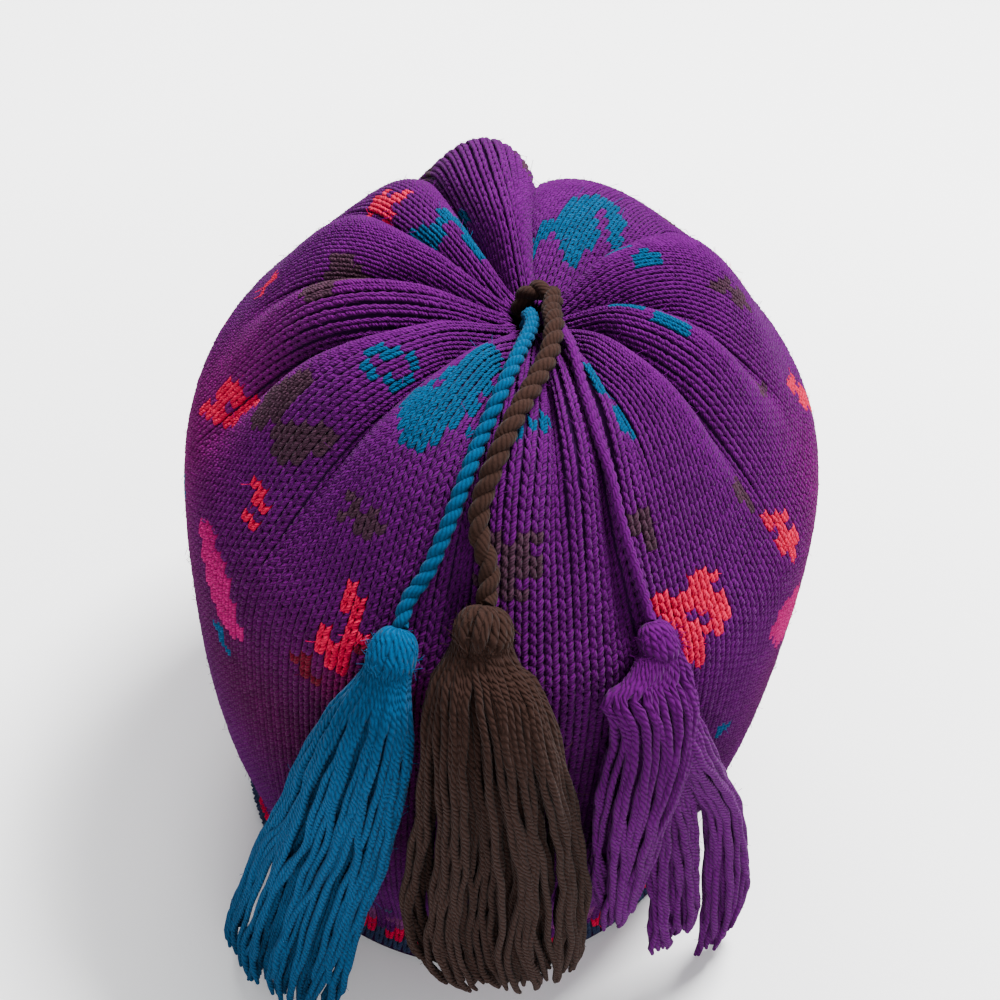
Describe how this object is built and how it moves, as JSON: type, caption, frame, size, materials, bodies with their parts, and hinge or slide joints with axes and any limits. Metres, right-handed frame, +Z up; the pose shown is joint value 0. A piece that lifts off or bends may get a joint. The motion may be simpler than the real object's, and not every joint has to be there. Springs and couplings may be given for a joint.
{
  "type": "knitted hat",
  "caption": "Hand-knit winter hat: a soft hollow tube gathered at the top, with twisted cords out of the gather that lie down its back, each ending in a flared tassel.",
  "frame": {"origin": "middle of the hat's lower edge, on the surface that the edge rests on", "axes": "+Z up through the crown, -Y towards the back of the hat where the tassels hang, +X across the head"},
  "size_m": [0.1937, 0.2448, 0.2228],
  "materials": {
    "purple_wool": "soft knitted wool",
    "blue_wool": "soft twisted wool",
    "brown_wool": "soft twisted wool"
  },
  "bodies": {
    "root": {"hat_body": "purple_wool", "cord_blue": "blue_wool", "cord_brown": "brown_wool", "cord_purple": "purple_wool", "tassel_head_blue": "blue_wool", "tassel_head_brown": "brown_wool", "tassel_head_purple": "purple_wool", "tassel_skirt_blue": "blue_wool", "tassel_skirt_brown": "brown_wool", "tassel_skirt_purple": "purple_wool"}
  },
  "joints": []
}
